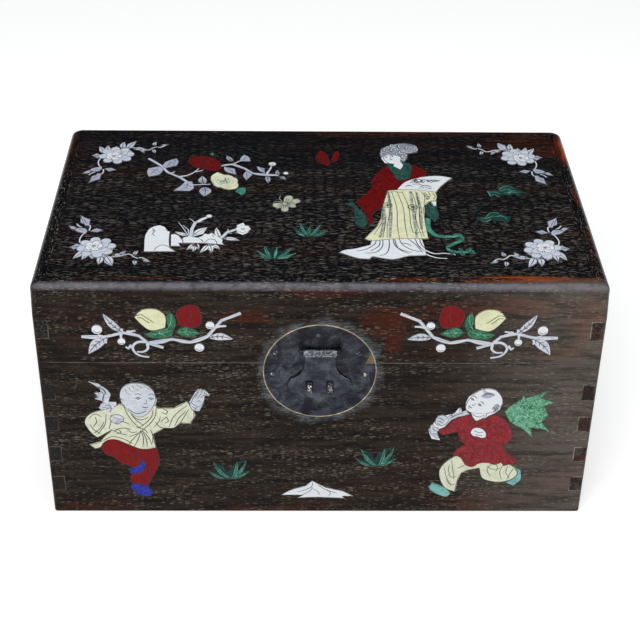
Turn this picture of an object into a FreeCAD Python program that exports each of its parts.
import FreeCAD, Part
import math
import os

# A lidded hardwood chest with finger-jointed corners, a round two-part lock
# plate, back hinges, side bail handles and pictures inlaid in shell and stone.
# Millimetres. +Z is up, the front faces -Y, and the origin is the middle of
# the footprint.

os.makedirs("parts", exist_ok=True)

# Chest
chest_width = 380.0
chest_depth = 226.0
body_height = 132.0
lid_height = 63.0
board = 10.0
top_round = 6.0
corner_ease = 1.0
seam_reveal = 0.4

# Top and bottom panels, each with a tongue on all four sides
panel = 8.0
tongue_reach = 4.0
tongue_thickness = 3.0
bottom_rise = 3.0

# Fingers of the side boards, counted up from the seam on the lid and from the foot on the body
finger_height = 13.5
finger_pitch = 27.0
body_first_finger = 20.0
lid_finger_height = 15.0
lid_first_finger = 20.0

# Lock plate, let into a round recess across the seam
plate_radius = 38.5
plate_drop = 6.2
plate_thickness = 1.2
plate_rim_width = 1.0
plate_rim_height = 0.5
plate_recess = 1.4
plate_fit = 0.1
plate_seam_gap = 0.3
plate_sides = 44

# Hasp, its barrel and its pin
hasp_thickness = 1.2
hasp_gap = 0.3
hasp_length = 43.5
hasp_neck = 21.0
hasp_width = 43.0
hasp_axis_above_seam = 11.0
barrel_radius = 2.2
barrel_length = 28.0
barrel_ear = 2.6
knuckle_gap = 0.2
blade_arc_points = 6
hasp_pin_radius = 0.9
pin_fit = 0.05

# Lock eyes
eye_spacing = 14.0
eye_below_seam = 17.5
eye_width = 3.4
eye_radius = 3.4
eye_hole_radius = 1.7
eye_clear = 0.4
eye_shank = 2.4
eye_sides = 12
slot_side_clear = 0.5
slot_end_clear = 0.8

# Nails and rivets
nail_head_radius = 1.7
nail_head_height = 0.7
nail_shank = 1.3
nail_facets = 7
nail_crown_share = 0.55
nail_shank_length = 7.0
shank_fit = 0.05
rivet_head = 5.0
rivet_head_height = 0.8

# Back hinges
hinge_spread = 220.0
hinge_width = 34.0
hinge_leaf_height = 19.0
hinge_leaf_thickness = 1.2
hinge_clear = 0.05
hinge_knuckle_radius = 2.4
hinge_pin_radius = 1.1
hinge_middle_share = 0.36
knuckle_sides = 10

# Side bail handles
bail_span = 62.0
bail_drop = 32.0
bail_rod_radius = 2.0
bail_end_radius = 1.5
bail_bend_radius = 7.0
bail_bend_chords = 3
bail_sides = 10
bail_below_seam = 36.0
bail_stand_off = 4.6
ring_width = 3.0
ring_wall = 1.9
ring_play = 0.3
ring_shank = 2.6
ring_sides = 12

# Inlays
inlay_depth = 0.8
inlay_proud = 0.15
stem_width = 2.2
ribbon_width = 3.0
leaf_widest_share = 0.45
leaf_half_width_share = 0.20
smallest_inlay = 2.5

half_width = chest_width / 2
half_depth = chest_depth / 2
chest_height = body_height + lid_height
seam = body_height


def box(low, high):
    """Box between two opposite corners."""
    size = [b - a for a, b in zip(low, high)]
    return Part.makeBox(*size, FreeCAD.Vector(*low))


def rod(start, direction, radius, length):
    """Round rod from start along direction."""
    return Part.makeCylinder(radius, length, FreeCAD.Vector(*start), FreeCAD.Vector(*direction))


def fuse(shapes):
    """One solid from shapes that touch or overlap."""
    return shapes[0].fuse(shapes[1:]).removeSplitter()


def save(name, shapes):
    """Write one node: its separate solids side by side."""
    solids = [solid for shape in shapes for solid in shape.Solids]
    node = solids[0] if len(solids) == 1 else Part.makeCompound(solids)
    node.exportStep("parts/" + name + ".step")


def flat_solid(points, direction):
    """Prism of a closed outline of 3-D points, pushed along direction."""
    corners = [FreeCAD.Vector(*point) for point in points]
    wire = Part.makePolygon(corners + corners[:1])
    return Part.Face(wire).extrude(FreeCAD.Vector(*direction))


def faceted_rod(start, direction, radius, length, sides):
    """Many-sided rod from start along one axis direction."""
    across, up = [axis for axis in range(3) if not direction[axis]]
    corners = []
    for number in range(sides):
        angle = 2 * math.pi * (number + 1 / 2) / sides
        corner = list(start)
        corner[across] += radius * math.cos(angle)
        corner[up] += radius * math.sin(angle)
        corners.append(corner)
    return flat_solid(corners, [way * length for way in direction])


def edges_along(shape, axis, lowest):
    """Straight edges of a box that run along one axis, above a height."""
    edges = []
    for edge in shape.Edges:
        way = edge.Vertexes[1].Point - edge.Vertexes[0].Point
        if abs(way[axis]) > edge.Length / 2 and edge.CenterOfMass.z > lowest:
            edges.append(edge)
    return edges


# The carcass: what the outside of body and lid is trimmed to

carcass = box((-half_width, -half_depth, 0), (half_width, half_depth, chest_height))
upright_form = carcass.makeChamfer(corner_ease, edges_along(carcass, 2, 0))
lengthwise_form = carcass.makeFillet(top_round, edges_along(carcass, 0, body_height))
crosswise_form = carcass.makeFillet(top_round, edges_along(carcass, 1, body_height))
outer_form = upright_form.common(lengthwise_form).common(crosswise_form)


def finger_rows(bottom, span, first, height):
    """Lower and upper edge of each side-board finger that fits in span."""
    count = max(1, int((span - first - height) / finger_pitch) + 1)
    starts = [bottom + first + number * finger_pitch for number in range(count)]
    return [(start, start + height) for start in starts]


def corner_fingers(rows):
    """The four corner posts of side-board fingers, as one list of blocks."""
    blocks = []
    for side in (-1, 1):
        for end in (-1, 1):
            x_edges = sorted((side * half_width, side * (half_width - board)))
            y_edges = sorted((end * half_depth, end * (half_depth - board)))
            for low, high in rows:
                low_corner = (x_edges[0], y_edges[0], low)
                blocks.append(box(low_corner, (x_edges[1], y_edges[1], high)))
    return blocks


def mitre_wedges(bottom, top):
    """At each corner, the half of the corner post that belongs to the side board."""
    wedges = []
    for side in (-1, 1):
        for end in (-1, 1):
            outside = (side * half_width, end * half_depth, bottom)
            inside = (side * (half_width - board), end * (half_depth - board), bottom)
            beside = (side * half_width, end * (half_depth - board), bottom)
            wedges.append(flat_solid([outside, inside, beside], (0, 0, top - bottom)))
    return wedges


def panel_with_tongue(bottom):
    """Flat panel between the four boards, with a tongue that reaches into them."""
    inner_x = half_width - board
    inner_y = half_depth - board
    field = box((-inner_x, -inner_y, bottom), (inner_x, inner_y, bottom + panel))
    tongue_bottom = bottom + (panel - tongue_thickness) / 2
    tongue = box(
        (-inner_x - tongue_reach, -inner_y - tongue_reach, tongue_bottom),
        (inner_x + tongue_reach, inner_y + tongue_reach, tongue_bottom + tongue_thickness),
    )
    return fuse([field, tongue])


def ring_of_boards(bottom, top, side_posts, cutters):
    """Front, back, left and right board of a box without top or bottom.

    side_posts are the parts of the corner posts that the side boards own.
    """
    inner_y = half_depth - board
    boards = {}
    for name, end in (("front", -1), ("back", 1)):
        y_edges = sorted((end * half_depth, end * inner_y))
        plank = box((-half_width, y_edges[0], bottom), (half_width, y_edges[1], top))
        boards[name] = plank.cut(side_posts + cutters)
    for name, side in (("left", -1), ("right", 1)):
        x_edges = sorted((side * half_width, side * (half_width - board)))
        plank = box((x_edges[0], -inner_y, bottom), (x_edges[1], inner_y, top))
        own = [post for post in side_posts if post.CenterOfMass.x * side > 0]
        boards[name] = fuse([plank] + own).cut(cutters)
    return {name: shape.common(outer_form) for name, shape in boards.items()}


bottom_panel = panel_with_tongue(bottom_rise)
top_panel = panel_with_tongue(chest_height - panel)
mitre_bottom = chest_height - panel
reveal = box((-half_width, -half_depth, seam), (half_width, half_depth, seam + seam_reveal)).cut(
    box(
        (-half_width + seam_reveal, -half_depth + seam_reveal, seam),
        (half_width - seam_reveal, half_depth - seam_reveal, seam + seam_reveal),
    )
)

body_rows = finger_rows(0, body_height, body_first_finger, finger_height)
lid_rows = finger_rows(seam, lid_height - panel, lid_first_finger, lid_finger_height)
body_boards = ring_of_boards(0, seam, corner_fingers(body_rows), [bottom_panel])
lid_posts = corner_fingers(lid_rows) + mitre_wedges(mitre_bottom, chest_height)
lid_boards = ring_of_boards(seam, chest_height, lid_posts, [top_panel, reveal])


# Lock plate, nails and eyes on the front

plate_height = seam - plate_drop
recess_floor = -half_depth + plate_recess
plate_face = recess_floor - plate_thickness
hasp_back = plate_face - hasp_gap
hasp_face = hasp_back - hasp_thickness
hasp_axis_y = hasp_back - barrel_radius
hasp_axis_z = seam + hasp_axis_above_seam
eye_y = hasp_face - eye_clear - eye_hole_radius
eye_z = seam - eye_below_seam


def plate_disc(y, radius, thickness):
    """Many-sided disc about the plate's middle, from y forward."""
    return faceted_rod((0, y, plate_height), (0, -1, 0), radius, thickness, plate_sides)


plate_recess_tool = plate_disc(recess_floor, plate_radius + plate_fit, plate_recess)
plate = plate_disc(recess_floor, plate_radius, plate_thickness + plate_rim_height).cut(
    plate_disc(plate_face, plate_radius - plate_rim_width, plate_rim_height)
)

half_gap = plate_seam_gap / 2
plate_reach = plate_radius + plate_drop
above = box(
    (-plate_radius, -chest_depth, seam + half_gap),
    (plate_radius, 0, seam + plate_reach),
)
below = box(
    (-plate_radius, -chest_depth, seam - plate_reach),
    (plate_radius, 0, seam - half_gap),
)
plate_upper = plate.common(above)
plate_lower = plate.common(below)


def cut_prism(point, direction, side, length):
    """Square prism from point along a horizontal axis direction, centred on it."""
    low = []
    high = []
    for place, way in zip(point, direction):
        if way:
            low.append(min(place, place + way * length))
            high.append(max(place, place + way * length))
        else:
            low.append(place - side / 2)
            high.append(place + side / 2)
    return box(low, high)


def nail_head(point, outward):
    """Low faceted crown on point."""
    rings = []
    crown_radius = nail_head_radius * nail_crown_share
    for radius, rise in ((nail_head_radius, 0), (crown_radius, nail_head_height)):
        corners = []
        for number in range(nail_facets):
            angle = 2 * math.pi * number / nail_facets
            across = radius * math.cos(angle)
            up = radius * math.sin(angle)
            y = point[1] + outward[1] * rise
            corners.append(FreeCAD.Vector(point[0] + across, y, point[2] + up))
        rings.append(corners)
    rims = rings + [
        [rings[0][number - 1], rings[0][number], rings[1][number], rings[1][number - 1]]
        for number in range(nail_facets)
    ]
    faces = [Part.Face(Part.makePolygon(rim + rim[:1])) for rim in rims]
    return Part.Solid(Part.Shell(faces))


def nail(point, outward):
    """Forged nail: a faceted head that sits on point and a square shank behind it."""
    inward = [-part for part in outward]
    shank = cut_prism(point, inward, nail_shank, nail_shank_length)
    return fuse([nail_head(point, outward), shank])


def nail_hole(point, outward):
    """Hole for one nail's shank."""
    inward = [-part for part in outward]
    return cut_prism(point, inward, nail_shank + 2 * shank_fit, nail_shank_length)


# Nails of the plate, as shares of its radius from its middle
upper_nail_shares = [(-0.78, 0.40), (0.68, 0.38), (-0.04, 0.77)]
lower_nail_shares = [(-0.83, -0.06), (0.80, -0.06)]


def plate_points(shares):
    """Places on the plate's face."""
    return [(x * plate_radius, plate_face, plate_height + z * plate_radius) for x, z in shares]


front = (0, -1, 0)
upper_nail_points = plate_points(upper_nail_shares)
lower_nail_points = plate_points(lower_nail_shares)
upper_nails = [nail(point, front) for point in upper_nail_points]
lower_nails = [nail(point, front) for point in lower_nail_points]
upper_nail_holes = [nail_hole(point, front) for point in upper_nail_points]
lower_nail_holes = [nail_hole(point, front) for point in lower_nail_points]

# Eyes: a lug with a hole along X, a shank through the board and a riveted end inside
eyes = []
eye_holes = []
board_inside = -half_depth + board
for side in (-1, 1):
    x = side * eye_spacing / 2
    lug_start = (x - eye_width / 2, eye_y, eye_z)
    round_end = faceted_rod(lug_start, (1, 0, 0), eye_radius, eye_width, eye_sides)
    lug_root = box(
        (x - eye_width / 2, eye_y, eye_z - eye_radius),
        (x + eye_width / 2, plate_face, eye_z + eye_radius),
    )
    shank_length = board_inside - plate_face
    shank = cut_prism((x, plate_face, eye_z), (0, 1, 0), eye_shank, shank_length)
    rivet = cut_prism((x, board_inside, eye_z), (0, 1, 0), rivet_head, rivet_head_height)
    eye_bore = rod(lug_start, (1, 0, 0), eye_hole_radius, eye_width)
    eyes.append(fuse([round_end, lug_root, shank, rivet]).cut(eye_bore))
    hole = eye_shank + 2 * shank_fit
    eye_holes.append(cut_prism((x, plate_face, eye_z), (0, 1, 0), hole, shank_length))

# Hasp

# Right-hand outline of the cloud-shaped blade, from the neck down: shares of its half width
# and of its length
shoulder_share = (0.54, -0.34)
shoulder_bend_share = (0.66, -0.44)
lobe_top_share = (0.90, -0.52)
lobe_side_share = (1.0, -0.65)
lobe_foot_share = (0.88, -0.78)
cusp_bend_share = (0.62, -0.83)
cusp_share = (0.46, -0.88)
tip_bend_share = (0.20, -0.90)


def blade_point(share):
    """Point of the blade's outline on its back face."""
    x = share[0] * hasp_width / 2
    return FreeCAD.Vector(x, hasp_back, hasp_axis_z + share[1] * hasp_length)


def hasp_blade():
    """Cloud-shaped blade with its two slots."""
    tip = FreeCAD.Vector(0, hasp_back, hasp_axis_z - hasp_length)
    neck = FreeCAD.Vector(hasp_neck / 2, hasp_back, hasp_axis_z)
    waist = FreeCAD.Vector(neck.x, hasp_back, blade_point(shoulder_share).z + barrel_radius)
    shoulder = blade_point(lobe_top_share)
    foot = blade_point(lobe_foot_share)
    cusp = blade_point(cusp_share)
    right_side = [neck]
    for start, bend, end in (
        (waist, blade_point(shoulder_bend_share), shoulder),
        (shoulder, blade_point(lobe_side_share), foot),
        (foot, blade_point(cusp_bend_share), cusp),
        (cusp, blade_point(tip_bend_share), tip),
    ):
        arc = Part.Arc(start, bend, end).toShape()
        right_side += arc.discretize(Number=blade_arc_points)[:-1]
    left_side = [FreeCAD.Vector(-point.x, point.y, point.z) for point in reversed(right_side)]
    blade = flat_solid(right_side + [tip] + left_side, (0, -hasp_thickness, 0))
    slots = []
    for side in (-1, 1):
        middle = side * eye_spacing / 2
        half_slot = eye_width / 2 + slot_side_clear
        half_slot_height = eye_radius + slot_end_clear
        slots.append(
            box(
                (middle - half_slot, hasp_face, eye_z - half_slot_height),
                (middle + half_slot, hasp_back, eye_z + half_slot_height),
            )
        )
    return blade.cut(slots)


ear_start = barrel_length / 2 - barrel_ear
knuckle_half = ear_start - knuckle_gap
pin_hole = rod(
    (-barrel_length / 2, hasp_axis_y, hasp_axis_z),
    (1, 0, 0),
    hasp_pin_radius + pin_fit,
    barrel_length,
)
hasp_knuckle = faceted_rod(
    (-knuckle_half, hasp_axis_y, hasp_axis_z),
    (1, 0, 0),
    barrel_radius,
    2 * knuckle_half,
    knuckle_sides,
)
hasp = fuse([hasp_blade(), hasp_knuckle]).cut(pin_hole)
hasp_pin = rod(
    (-barrel_length / 2, hasp_axis_y, hasp_axis_z), (1, 0, 0), hasp_pin_radius, barrel_length
)
ears = []
for start in (-barrel_length / 2, ear_start):
    ear_middle = (start, hasp_axis_y, hasp_axis_z)
    ear = faceted_rod(ear_middle, (1, 0, 0), barrel_radius, barrel_ear, knuckle_sides)
    foot = box(
        (start, hasp_axis_y, hasp_axis_z - barrel_radius),
        (start + barrel_ear, plate_face, hasp_axis_z + barrel_radius),
    )
    ears += [ear, foot]
plate_upper = fuse([plate_upper] + ears).cut([pin_hole] + upper_nail_holes)
plate_lower = plate_lower.cut(lower_nail_holes + eye_holes)

lid_boards["front"] = lid_boards["front"].cut([plate_recess_tool] + upper_nail_holes)
body_boards["front"] = body_boards["front"].cut(
    [plate_recess_tool] + lower_nail_holes + eye_holes
)

# Back hinges

hinge_axis_y = half_depth + hinge_knuckle_radius + hinge_clear
leaf_face = half_depth + hinge_leaf_thickness
back = (0, 1, 0)
# Nails of one leaf, as shares of its half width and of its height from the seam
leaf_nail_shares = [(-0.70, 0.70), (0.70, 0.70), (0.0, 0.62)]


def hinge_leaf(middle, way, knuckles):
    """Leaf on the back, above (way 1) or below (way -1) the seam, with its knuckles."""
    half = hinge_width / 2
    near = seam + way * (hinge_knuckle_radius + knuckle_gap)
    far = seam + way * hinge_leaf_height
    z_edges = sorted((near, far))
    solids = [box((middle - half, half_depth, z_edges[0]), (middle + half, leaf_face, z_edges[1]))]
    for start, end in knuckles:
        ring_start = (middle + start, hinge_axis_y, seam)
        ring = faceted_rod(
            ring_start, (1, 0, 0), hinge_knuckle_radius, end - start, knuckle_sides
        )
        strap_edges = sorted((seam, near))
        strap = box(
            (middle + start, half_depth + hinge_clear, strap_edges[0]),
            (middle + end, leaf_face, strap_edges[1]),
        )
        solids += [ring, strap]
    bore = rod(
        (middle - half, hinge_axis_y, seam), (1, 0, 0), hinge_pin_radius + pin_fit, hinge_width
    )
    holes = [nail_hole(point, back) for point in leaf_nail_points(middle, way)]
    return fuse(solids).cut([bore] + holes)


def leaf_nail_points(middle, way):
    """Nail places on one leaf's outer face."""
    return [
        (middle + x * hinge_width / 2, leaf_face, seam + way * z * hinge_leaf_height)
        for x, z in leaf_nail_shares
    ]


half_middle = hinge_width * hinge_middle_share / 2
outer_knuckles = [
    (-hinge_width / 2, -half_middle - knuckle_gap),
    (half_middle + knuckle_gap, hinge_width / 2),
]
middle_knuckle = [(-half_middle, half_middle)]
hinge_body_nails = []
hinge_lid_nails = []
for name, side in (("left", -1), ("right", 1)):
    middle = side * hinge_spread / 2
    save("hinge_" + name + "_body_leaf", [hinge_leaf(middle, -1, outer_knuckles)])
    save("hinge_" + name + "_lid_leaf", [hinge_leaf(middle, 1, middle_knuckle)])
    pin_start = (middle - hinge_width / 2, hinge_axis_y, seam)
    save("hinge_" + name + "_pin", [rod(pin_start, (1, 0, 0), hinge_pin_radius, hinge_width)])
    body_points = leaf_nail_points(middle, -1)
    lid_points = leaf_nail_points(middle, 1)
    hinge_body_nails += [nail(point, back) for point in body_points]
    hinge_lid_nails += [nail(point, back) for point in lid_points]
    body_boards["back"] = body_boards["back"].cut([nail_hole(p, back) for p in body_points])
    lid_boards["back"] = lid_boards["back"].cut([nail_hole(p, back) for p in lid_points])
save("hinge_body_nails", hinge_body_nails)
save("hinge_lid_nails", hinge_lid_nails)

# Side bail handles

ring_hole_radius = bail_end_radius + pin_fit
ring_radius = ring_hole_radius + ring_wall
bail_height = seam - bail_below_seam


def bail(side):
    """Bail hanging straight down, its turned-in ends through the two rings."""
    x = side * (half_width + bail_stand_off)
    leg = bail_span / 2 + ring_width / 2 + ring_play + bail_rod_radius
    foot = bail_height - bail_drop
    bend = bail_bend_radius
    path = [(-leg, bail_height + bail_rod_radius)]
    for end in (-1, 1):
        chords = range(bail_bend_chords + 1)
        for number in chords if end < 0 else reversed(chords):
            angle = math.pi / 2 * number / bail_bend_chords
            y = leg - bend + bend * math.cos(angle)
            path.append((end * y, foot + bend - bend * math.sin(angle)))
    path.append((leg, bail_height + bail_rod_radius))
    spine = Part.makePolygon([FreeCAD.Vector(x, y, z) for y, z in path])
    rim = []
    for number in range(bail_sides):
        angle = 2 * math.pi * (number + 1 / 2) / bail_sides
        across = x + bail_rod_radius * math.cos(angle)
        along = -leg + bail_rod_radius * math.sin(angle)
        rim.append(FreeCAD.Vector(across, along, path[0][1]))
    section = Part.makePolygon(rim + rim[:1])
    mitred_corners = 1
    solids = [spine.makePipeShell([section], True, False, mitred_corners)]
    inner_end = bail_span / 2 - ring_width / 2 - bail_rod_radius
    for end in (-1, 1):
        start = (x, end * leg, bail_height)
        length = leg - inner_end
        solids.append(faceted_rod(start, (0, -end, 0), bail_end_radius, length, bail_sides))
    return fuse(solids)


def ring_pin(side, end):
    """Ring on a square shank that goes through the side board and is riveted inside."""
    x = side * (half_width + bail_stand_off)
    y = end * bail_span / 2
    start = (x, y - ring_width / 2, bail_height)
    ring = faceted_rod(start, (0, 1, 0), ring_radius, ring_width, ring_sides)
    hole = rod(start, (0, 1, 0), ring_hole_radius, ring_width)
    inside = side * (half_width - board)
    inward = (-side, 0, 0)
    shank = cut_prism((x, y, bail_height), inward, ring_shank, abs(x) - half_width + board)
    rivet = cut_prism((inside, y, bail_height), inward, rivet_head, rivet_head_height)
    return fuse([ring, shank, rivet]).cut(hole)


for name, side in (("left", -1), ("right", 1)):
    save("handle_" + name + "_bail", [bail(side)])
    save("handle_" + name + "_ring_pins", [ring_pin(side, end) for end in (-1, 1)])
    holes = []
    for end in (-1, 1):
        start = (side * half_width, end * bail_span / 2, bail_height)
        holes.append(cut_prism(start, (-side, 0, 0), ring_shank + 2 * shank_fit, board))
    body_boards[name] = body_boards[name].cut(holes)

# Inlays: flat pieces of shell and stone, each let into a bed cut to its outline

bed_y = -half_depth + inlay_depth
bed_z = chest_height - inlay_depth
inlay_thickness = inlay_depth + inlay_proud
inlays = {"body_front": {}, "lid_front": {}, "top": {}}
beds = {"body_front": [], "lid_front": [], "top": []}


def picture_point(surface, window_shares, share):
    """Place on the beds' floor of a point given in shares of a window."""
    left, low, right, high = window_shares
    x = (left + share[0] * (right - left)) * chest_width
    up = low + share[1] * (high - low)
    if surface == "body_front":
        return FreeCAD.Vector(x, bed_y, up * body_height)
    if surface == "lid_front":
        return FreeCAD.Vector(x, bed_y, seam + up * lid_height)
    return FreeCAD.Vector(x, up * chest_depth - half_depth, bed_z)


def outward_of(surface):
    """Direction that a surface faces."""
    return FreeCAD.Vector(0, 0, 1) if surface == "top" else FreeCAD.Vector(0, -1, 0)


def flat_face(points):
    """Flat face inside a closed outline."""
    return Part.Face(Part.makePolygon(points + points[:1]))


def outline_faces(surface, window_shares, outlines):
    """One face for each outline given in shares of a window."""
    return [
        flat_face([picture_point(surface, window_shares, share) for share in outline])
        for outline in outlines
    ]


def stem_faces(surface, window_shares, lines, width):
    """One narrow face along each line."""
    faces = []
    for line in lines:
        places = [picture_point(surface, window_shares, share) for share in line]
        sides = ([], [])
        for number, place in enumerate(places):
            before = places[max(number - 1, 0)]
            after = places[min(number + 1, len(places) - 1)]
            across = (after - before).cross(outward_of(surface)).normalize() * width / 2
            sides[0].append(place + across)
            sides[1].append(place - across)
        faces.append(flat_face(sides[0] + sides[1][::-1]))
    return faces


def leaf_faces(surface, window_shares, leaves):
    """One pointed face for each leaf, given by its base and tip."""
    faces = []
    for ends in leaves:
        base, tip = [picture_point(surface, window_shares, share) for share in ends]
        middle = base + (tip - base) * leaf_widest_share
        across = (tip - base).cross(outward_of(surface)) * leaf_half_width_share
        faces.append(flat_face([base, middle + across, tip, middle - across]))
    return faces


def let_in(surface, groups):
    """Add solids to their nodes, front to back, each group cut by the groups before it.

    The bed is cut to the whole outlines, so that no sliver of wood is left in a picture.
    """
    thickness = outward_of(surface) * inlay_thickness
    taken = []
    for node, faces in groups:
        flat = faces[0].fuse(faces[1:]).removeSplitter() if len(faces) > 1 else faces[0]
        beds[surface] += [face.extrude(thickness) for face in flat.Faces]
        if taken:
            flat = flat.cut(taken)
        whole = [face for face in flat.Faces if face.Area > smallest_inlay ** 2]
        inlays[surface].setdefault(node, []).extend(face.extrude(thickness) for face in whole)
        taken += whole


# Inlay tables. A window is the left, low, right and high edge of a picture: across as shares of
# the chest's width from its middle, and up or back as shares of the surface from its near edge.
# Every outline is in shares of its window. In each picture the pieces stand front to back.

left_boy_window_shares = (-0.437, 0.076, -0.189, 0.909)
left_boy_shares = [
    ("left_boy_head_and_hands", [
        [(0.45, 0.965), (0.52, 0.945), (0.565, 0.895), (0.58, 0.83), (0.56, 0.765), (0.51, 0.715),
         (0.45, 0.695), (0.39, 0.715), (0.34, 0.765), (0.32, 0.83), (0.335, 0.895), (0.38, 0.945)],
        [(0.225, 0.69), (0.24, 0.715), (0.325, 0.71), (0.345, 0.68), (0.31, 0.635), (0.24, 0.66)],
        [(0.815, 0.815), (0.86, 0.89), (0.885, 0.918), (0.935, 0.905), (0.968, 0.872),
         (0.93, 0.868), (0.92, 0.81), (0.885, 0.745), (0.85, 0.745)],
    ]),
    ("left_boy_branch", [
        [(0.095, 0.975), (0.17, 0.955), (0.25, 0.88), (0.228, 0.815), (0.285, 0.815),
         (0.285, 0.785), (0.235, 0.72), (0.205, 0.725), (0.155, 0.77), (0.195, 0.82),
         (0.13, 0.84), (0.168, 0.858), (0.13, 0.885), (0.18, 0.89), (0.175, 0.92)],
    ]),
    ("left_boy_jacket", [
        [(0.18, 0.755), (0.10, 0.73), (0.055, 0.695), (0.04, 0.655), (0.055, 0.61), (0.09, 0.56),
         (0.125, 0.53), (0.24, 0.595), (0.165, 0.53), (0.145, 0.50), (0.06, 0.475), (0.10, 0.44),
         (0.15, 0.46), (0.375, 0.44), (0.41, 0.435), (0.555, 0.45), (0.545, 0.51), (0.54, 0.56),
         (0.62, 0.605), (0.70, 0.612), (0.745, 0.65), (0.82, 0.643), (0.86, 0.71), (0.845, 0.75),
         (0.80, 0.825), (0.70, 0.77), (0.585, 0.768), (0.57, 0.79), (0.33, 0.81), (0.25, 0.77)],
    ]),
    ("left_boy_shoes", [
        [(0.345, 0.235), (0.345, 0.28), (0.41, 0.30), (0.45, 0.36), (0.468, 0.29), (0.42, 0.24)],
        [(0.355, 0.155), (0.34, 0.12), (0.39, 0.06), (0.43, 0.045), (0.48, 0.043), (0.51, 0.07),
         (0.475, 0.14)],
    ]),
    ("left_boy_trousers", [
        [(0.15, 0.455), (0.175, 0.485), (0.23, 0.51), (0.33, 0.485), (0.41, 0.45), (0.555, 0.46),
         (0.575, 0.35), (0.555, 0.28), (0.50, 0.18), (0.48, 0.135), (0.36, 0.155), (0.345, 0.185),
         (0.37, 0.245), (0.40, 0.26), (0.36, 0.295), (0.28, 0.325), (0.24, 0.368), (0.175, 0.395)],
    ]),
]

right_boy_window_shares = (0.195, 0.076, 0.437, 0.864)
right_boy_shares = [
    ("right_boy_head_hands_and_stem", [
        [(0.43, 0.963), (0.50, 0.95), (0.55, 0.91), (0.57, 0.858), (0.55, 0.805), (0.50, 0.765),
         (0.471, 0.753), (0.42, 0.713), (0.377, 0.707), (0.354, 0.75), (0.31, 0.805),
         (0.29, 0.858), (0.31, 0.91), (0.36, 0.95)],
        [(0.339, 0.617), (0.358, 0.657), (0.407, 0.657), (0.473, 0.60), (0.463, 0.557),
         (0.396, 0.573), (0.358, 0.58)],
    ]),
    ("right_boy_head_hands_and_stem", [
        [(0.30, 0.797), (0.252, 0.777), (0.245, 0.82), (0.211, 0.77), (0.15, 0.755), (0.098, 0.75),
         (0.064, 0.693), (0.026, 0.637), (0.034, 0.60), (0.053, 0.557), (0.119, 0.543),
         (0.09, 0.60), (0.098, 0.637), (0.143, 0.657), (0.203, 0.73), (0.324, 0.765)],
    ]),
    ("right_boy_tunic", [
        [(0.324, 0.763), (0.203, 0.713), (0.151, 0.653), (0.106, 0.64), (0.102, 0.62),
         (0.132, 0.587), (0.249, 0.617), (0.271, 0.553), (0.309, 0.507), (0.249, 0.46),
         (0.222, 0.413), (0.279, 0.397), (0.332, 0.327), (0.384, 0.312), (0.437, 0.343),
         (0.497, 0.347), (0.558, 0.33), (0.603, 0.35), (0.625, 0.32), (0.70, 0.343),
         (0.742, 0.357), (0.648, 0.427), (0.603, 0.493), (0.667, 0.567), (0.641, 0.667),
         (0.603, 0.72), (0.52, 0.767), (0.43, 0.73)],
    ]),
    ("right_boy_shoes", [
        [(0.054, 0.133), (0.083, 0.173), (0.143, 0.15), (0.226, 0.09), (0.23, 0.067),
         (0.203, 0.04), (0.17, 0.047), (0.075, 0.10)],
        [(0.716, 0.303), (0.761, 0.287), (0.77, 0.20), (0.716, 0.143), (0.656, 0.173),
         (0.727, 0.223), (0.739, 0.26)],
    ]),
    ("right_boy_trousers", [
        [(0.279, 0.42), (0.203, 0.38), (0.151, 0.327), (0.13, 0.28), (0.136, 0.213), (0.188, 0.12),
         (0.264, 0.087), (0.279, 0.193), (0.301, 0.253), (0.347, 0.28), (0.437, 0.30),
         (0.467, 0.213), (0.52, 0.187), (0.625, 0.177), (0.735, 0.215), (0.75, 0.26),
         (0.73, 0.295), (0.663, 0.34), (0.50, 0.37)],
    ]),
    ("right_boy_lotus_leaf", [
        [(0.588, 0.787), (0.618, 0.827), (0.708, 0.893), (0.716, 0.933), (0.735, 0.90),
         (0.844, 0.937), (0.90, 0.963), (0.852, 0.90), (0.968, 0.863), (0.882, 0.837),
         (0.923, 0.753), (0.878, 0.697), (0.965, 0.597), (0.904, 0.637), (0.799, 0.653),
         (0.821, 0.567), (0.739, 0.64), (0.641, 0.70)],
    ]),
]

tuft_window_shares = [(-0.211, 0.220, -0.121, 0.371), (0.063, 0.311, 0.153, 0.462)]
tuft_shares = [
    [(0.28, 0.10), (0.20, 0.28), (0.05, 0.48), (0.28, 0.37), (0.29, 0.53), (0.19, 0.86),
     (0.37, 0.70), (0.46, 0.38), (0.53, 0.62), (0.68, 0.90), (0.86, 0.96), (0.72, 0.76),
     (0.62, 0.38), (0.75, 0.45), (0.92, 0.46), (0.76, 0.28), (0.70, 0.10)],
]

mountain_window_shares = (-0.074, 0.083, 0.074, 0.235)
mountain_shares = [
    [(0.03, 0.25), (0.10, 0.40), (0.20, 0.55), (0.34, 0.68), (0.425, 0.92), (0.50, 0.78),
     (0.60, 0.60), (0.82, 0.43), (0.95, 0.20), (0.81, 0.20), (0.84, 0.10), (0.50, 0.15),
     (0.24, 0.12), (0.31, 0.25)],
]

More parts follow.
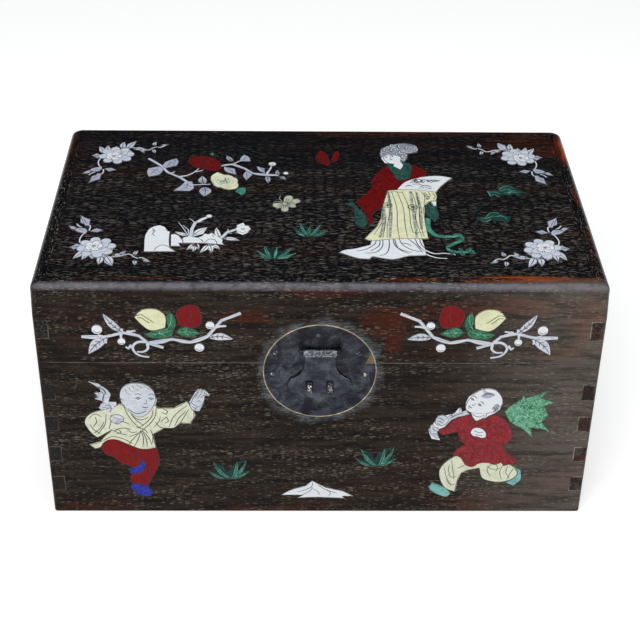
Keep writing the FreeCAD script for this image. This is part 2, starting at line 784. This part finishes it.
# Fruit spray on the left of the lid's front; the right one is its mirror image
spray_window_shares = (-0.421, 0.032, -0.132, 0.794)
spray_shares = [
    ("lid_front_yellow_peaches", [
        [(0.337, 0.748), (0.373, 0.855), (0.413, 0.89), (0.467, 0.885), (0.507, 0.832),
         (0.527, 0.763), (0.523, 0.573), (0.467, 0.53), (0.427, 0.527), (0.373, 0.634)],
    ]),
    ("lid_front_red_peaches", [
        [(0.593, 0.832), (0.62, 0.908), (0.653, 0.947), (0.70, 0.947), (0.727, 0.916),
         (0.742, 0.74), (0.733, 0.634), (0.70, 0.565), (0.613, 0.603), (0.593, 0.695)],
    ]),
    ("lid_front_green_leaves", [
        [(0.55, 0.86), (0.527, 0.72), (0.535, 0.60), (0.56, 0.50), (0.587, 0.62), (0.58, 0.75)],
        [(0.389, 0.466), (0.453, 0.527), (0.507, 0.565), (0.573, 0.557), (0.56, 0.443),
         (0.507, 0.39), (0.44, 0.39)],
        [(0.58, 0.496), (0.613, 0.573), (0.647, 0.588), (0.693, 0.55), (0.735, 0.473),
         (0.64, 0.412)],
    ]),
]
spray_stem_shares = [
    [(0.013, 0.42), (0.16, 0.42), (0.267, 0.488), (0.36, 0.435), (0.41, 0.315), (0.503, 0.237)],
    [(0.42, 0.32), (0.56, 0.38), (0.667, 0.328), (0.773, 0.427), (0.86, 0.695), (0.977, 0.817)],
]

corner_window_shares = (0.295, 0.075, 0.458, 0.403)
corner_flower_shares = [
    [(0.44, 0.42), (0.50, 0.48), (0.64, 0.53), (0.66, 0.42), (0.69, 0.25), (0.65, 0.20),
     (0.60, 0.27), (0.55, 0.20), (0.45, 0.32)],
]
corner_leaf_shares = [
    ((0.77, 0.78), (0.88, 0.97)),
    ((0.76, 0.69), (0.93, 0.72)),
    ((0.78, 0.42), (0.93, 0.40)),
    ((0.52, 0.22), (0.42, 0.08)),
]

rose_window_shares = (-0.342, 0.500, -0.047, 0.819)
rose_shares = [
    ("top_red_flower", [
        [(0.307, 0.912), (0.36, 0.90), (0.413, 0.912), (0.493, 0.819), (0.52, 0.679),
         (0.517, 0.617), (0.48, 0.591), (0.393, 0.632), (0.353, 0.658), (0.30, 0.772)],
    ]),
    ("top_yellow_flower", [
        [(0.497, 0.57), (0.54, 0.513), (0.573, 0.508), (0.603, 0.461), (0.637, 0.347),
         (0.64, 0.244), (0.613, 0.207), (0.567, 0.202), (0.50, 0.275), (0.46, 0.378),
         (0.459, 0.482)],
    ]),
    ("top_grass_and_buds", [
        [(0.43, 0.96), (0.455, 1.0), (0.47, 0.95), (0.455, 0.92)],
        [(0.65, 0.245), (0.69, 0.24), (0.69, 0.13), (0.665, 0.08), (0.62, 0.17)],
    ]),
    ("top_flowering_branch", [
        [(0.293, 0.368), (0.34, 0.368), (0.353, 0.275), (0.357, 0.223), (0.333, 0.166),
         (0.223, 0.171), (0.267, 0.275)],
        [(0.125, 0.70), (0.15, 0.79), (0.215, 0.865), (0.235, 0.79), (0.225, 0.70), (0.15, 0.645)],
        [(0.113, 0.69), (0.04, 0.64), (0.033, 0.57), (0.05, 0.46), (0.12, 0.51), (0.145, 0.62)],
        [(0.535, 0.69), (0.61, 0.64), (0.623, 0.51), (0.545, 0.59)],
    ]),
]
rose_stem_shares = [
    [(0.03, 0.855), (0.12, 0.70), (0.17, 0.56), (0.257, 0.446), (0.31, 0.35)],
    [(0.51, 0.70), (0.587, 0.736), (0.673, 0.648), (0.727, 0.544), (0.90, 0.503)],
]

rocks_window_shares = (-0.321, 0.164, -0.116, 0.412)
rocks_shares = [
    [(0.04, 0.075), (0.045, 0.58), (0.10, 0.68), (0.15, 0.705), (0.20, 0.65), (0.225, 0.56),
     (0.245, 0.55), (0.255, 0.25), (0.27, 0.155), (0.32, 0.08)],
    [(0.252, 0.48), (0.29, 0.495), (0.325, 0.455), (0.355, 0.37), (0.37, 0.415), (0.43, 0.44),
     (0.485, 0.41), (0.50, 0.415), (0.53, 0.45), (0.55, 0.51), (0.585, 0.49), (0.61, 0.535),
     (0.65, 0.47), (0.715, 0.36), (0.715, 0.29), (0.735, 0.24), (0.56, 0.275), (0.335, 0.275),
     (0.355, 0.205), (0.265, 0.205)],
    [(0.885, 0.77), (0.91, 0.68), (0.945, 0.62), (0.93, 0.53), (0.885, 0.48), (0.83, 0.54),
     (0.83, 0.62), (0.83, 0.71)],
]
rocks_stem_shares = [
    [(0.43, 0.42), (0.435, 0.62), (0.455, 0.76), (0.575, 0.93)],
    [(0.69, 0.38), (0.75, 0.54), (0.84, 0.62)],
]
rocks_leaf_shares = [
    ((0.475, 0.29), (0.465, 0.075)),
    ((0.60, 0.29), (0.625, 0.055)),
    ((0.45, 0.43), (0.57, 0.66)),
]

butterfly_window_shares = (-0.089, 0.403, 0.047, 0.854)
red_butterfly_shares = [
    [(0.66, 0.92), (0.69, 0.96), (0.76, 0.93), (0.83, 0.74), (0.79, 0.72), (0.69, 0.76),
     (0.62, 0.83)],
    [(0.93, 0.945), (0.94, 0.86), (0.90, 0.81), (0.87, 0.84)],
]
cream_butterfly_shares = [
    [(0.175, 0.23), (0.20, 0.26), (0.25, 0.27), (0.305, 0.22), (0.36, 0.23), (0.395, 0.20),
     (0.325, 0.165), (0.335, 0.12), (0.24, 0.13), (0.225, 0.06), (0.185, 0.045), (0.14, 0.085),
     (0.12, 0.105), (0.08, 0.09), (0.025, 0.125), (0.085, 0.165), (0.16, 0.175)],
]

mound_window_shares = (0.258, 0.341, 0.411, 0.624)
mound_shares = [
    [(0.40, 0.80), (0.43, 0.64), (0.50, 0.70), (0.55, 0.62), (0.57, 0.70), (0.68, 0.69),
     (0.75, 0.72), (0.79, 0.64), (0.83, 0.74), (0.92, 0.71), (0.84, 0.79), (0.78, 0.80),
     (0.75, 0.88), (0.68, 0.91), (0.60, 0.87), (0.55, 0.79)],
    [(0.21, 0.20), (0.32, 0.20), (0.40, 0.30), (0.46, 0.31), (0.52, 0.28), (0.56, 0.23),
     (0.63, 0.20), (0.61, 0.13), (0.58, 0.08), (0.52, 0.10), (0.38, 0.13), (0.33, 0.08),
     (0.22, 0.12)],
]

top_tuft_window_shares = (-0.121, 0.119, 0.026, 0.367)
top_tuft_shares = [
    [(0.60, 0.62), (0.60, 0.72), (0.50, 0.80), (0.52, 0.85), (0.64, 0.72), (0.66, 0.80),
     (0.58, 0.94), (0.70, 0.84), (0.72, 0.74), (0.83, 0.89), (0.80, 0.74), (0.92, 0.77),
     (0.78, 0.68), (0.75, 0.62)],
    [(0.17, 0.09), (0.13, 0.17), (0.07, 0.29), (0.19, 0.20), (0.23, 0.24), (0.15, 0.40),
     (0.26, 0.31), (0.28, 0.22), (0.48, 0.35), (0.36, 0.21), (0.52, 0.23), (0.40, 0.15),
     (0.33, 0.10)],
]

lady_window_shares = (0.026, 0.128, 0.289, 0.907)
lady_shares = [
    ("lady_hair", [
        [(0.369, 0.857), (0.369, 0.89), (0.387, 0.927), (0.434, 0.95), (0.504, 0.97),
         (0.551, 0.977), (0.645, 0.957), (0.662, 0.933), (0.657, 0.897), (0.58, 0.877),
         (0.571, 0.833), (0.545, 0.807), (0.522, 0.81), (0.522, 0.843), (0.504, 0.857),
         (0.42, 0.867), (0.39, 0.85)],
    ]),
    ("lady_face_and_hand", [
        [(0.452, 0.895), (0.505, 0.88), (0.527, 0.84), (0.516, 0.82), (0.537, 0.78),
         (0.51, 0.733), (0.451, 0.767), (0.451, 0.785), (0.40, 0.80), (0.377, 0.84),
         (0.40, 0.88)],
        [(0.70, 0.467), (0.742, 0.467), (0.735, 0.43), (0.708, 0.43)],
    ]),
    ("lady_collar_and_ribbons", [
        [(0.422, 0.80), (0.41, 0.77), (0.434, 0.733), (0.475, 0.647), (0.504, 0.643),
         (0.574, 0.66), (0.598, 0.767), (0.586, 0.793), (0.539, 0.803)],
    ]),
    ("lady_fan", [
        [(0.463, 0.563), (0.528, 0.627), (0.598, 0.657), (0.703, 0.68), (0.797, 0.683),
         (0.885, 0.667), (0.844, 0.637), (0.785, 0.587), (0.75, 0.543), (0.621, 0.56)],
    ]),
    ("lady_robe", [
        [(0.41, 0.767), (0.375, 0.747), (0.317, 0.68), (0.281, 0.627), (0.293, 0.587),
         (0.252, 0.54), (0.165, 0.46), (0.188, 0.427), (0.229, 0.367), (0.25, 0.277),
         (0.281, 0.307), (0.275, 0.36), (0.34, 0.42), (0.393, 0.555), (0.46, 0.56),
         (0.69, 0.685), (0.698, 0.72), (0.657, 0.753), (0.598, 0.78)],
    ]),
    ("lady_skirt", [
        [(0.399, 0.557), (0.375, 0.50), (0.352, 0.433), (0.334, 0.333), (0.299, 0.267),
         (0.205, 0.173), (0.234, 0.159), (0.41, 0.17), (0.645, 0.173), (0.639, 0.333),
         (0.651, 0.433), (0.692, 0.467), (0.739, 0.473), (0.75, 0.507), (0.744, 0.55),
         (0.586, 0.57)],
    ]),
    ("lady_collar_and_ribbons", [
        [(0.66, 0.44), (0.651, 0.367), (0.703, 0.303), (0.739, 0.34), (0.721, 0.433),
         (0.692, 0.455)],
        [(0.076, 0.447), (0.141, 0.46), (0.176, 0.413), (0.223, 0.36), (0.229, 0.28),
         (0.188, 0.257), (0.152, 0.28), (0.147, 0.413)],
    ]),
    ("lady_underskirt", [
        [(0.258, 0.18), (0.24, 0.127), (0.141, 0.10), (0.059, 0.087), (0.026, 0.07),
         (0.152, 0.027), (0.229, 0.021), (0.252, 0.04), (0.387, 0.02), (0.504, 0.047),
         (0.61, 0.05), (0.615, 0.08), (0.598, 0.18)],
    ]),
]
lady_ribbon_shares = [
    [(0.66, 0.33), (0.657, 0.247), (0.703, 0.197), (0.797, 0.19), (0.868, 0.20), (0.873, 0.167),
     (0.82, 0.14), (0.768, 0.113), (0.774, 0.087), (0.844, 0.073), (0.938, 0.083)],
]


def picture_faces(surface, window_shares, shares):
    """Faces of each group of a picture, with the node that they belong to."""
    return [
        (node, outline_faces(surface, window_shares, outlines)) for node, outlines in shares
    ]


let_in("body_front", picture_faces("body_front", left_boy_window_shares, left_boy_shares))
let_in("body_front", picture_faces("body_front", right_boy_window_shares, right_boy_shares))
for window_shares in tuft_window_shares:
    tuft = outline_faces("body_front", window_shares, tuft_shares)
    let_in("body_front", [("front_grass_tufts", tuft)])
mountain = outline_faces("body_front", mountain_window_shares, mountain_shares)
let_in("body_front", [("front_mountain", mountain)])

left, low, right, high = spray_window_shares
for window_shares in (spray_window_shares, (-left, low, -right, high)):
    stems = stem_faces("lid_front", window_shares, spray_stem_shares, stem_width)
    spray = picture_faces("lid_front", window_shares, spray_shares)
    let_in("lid_front", spray + [("lid_front_stems", stems)])

left, low, right, high = corner_window_shares
for mirror in (1, -1):
    for near, far in ((low, high), (1 - low, 1 - high)):
        window_shares = (mirror * left, near, mirror * right, far)
        flower = outline_faces("top", window_shares, corner_flower_shares)
        leaves = leaf_faces("top", window_shares, corner_leaf_shares)
        let_in("top", [("top_corner_sprays", flower + leaves)])

stems = stem_faces("top", rose_window_shares, rose_stem_shares, stem_width)
branch = picture_faces("top", rose_window_shares, rose_shares)
let_in("top", branch + [("top_flowering_branch", stems)])
rocks = (
    outline_faces("top", rocks_window_shares, rocks_shares)
    + stem_faces("top", rocks_window_shares, rocks_stem_shares, stem_width)
    + leaf_faces("top", rocks_window_shares, rocks_leaf_shares)
)
let_in("top", [("top_rocks", rocks)])
red = outline_faces("top", butterfly_window_shares, red_butterfly_shares)
cream = outline_faces("top", butterfly_window_shares, cream_butterfly_shares)
let_in("top", [("top_red_butterfly", red), ("top_cream_butterfly", cream)])
grass = outline_faces("top", mound_window_shares, mound_shares)
grass += outline_faces("top", top_tuft_window_shares, top_tuft_shares)
let_in("top", [("top_grass_and_buds", grass)])
ribbon = stem_faces("top", lady_window_shares, lady_ribbon_shares, ribbon_width)
lady = picture_faces("top", lady_window_shares, lady_shares)
let_in("top", lady + [("lady_collar_and_ribbons", ribbon)])


def with_beds(shape, surface):
    """Board or panel with the beds of a surface's inlays."""
    return shape.cut(beds[surface]).removeSplitter()


body_boards["front"] = with_beds(body_boards["front"], "body_front")
lid_boards["front"] = with_beds(lid_boards["front"], "lid_front")
top_panel = with_beds(top_panel, "top")
for nodes in inlays.values():
    for node, solids in nodes.items():
        save(node, solids)

for name, shape in body_boards.items():
    save("body_" + name + "_board", [shape])
for name, shape in lid_boards.items():
    save("lid_" + name + "_board", [shape])
save("body_bottom_panel", [bottom_panel])
save("lid_top_panel", [top_panel])
save("lock_plate_upper", [plate_upper])
save("lock_plate_lower", [plate_lower])
save("lock_plate_upper_nails", upper_nails)
save("lock_plate_lower_nails", lower_nails)
save("lock_eyes", eyes)
save("lock_hasp", [hasp])
save("lock_hasp_pin", [hasp_pin])
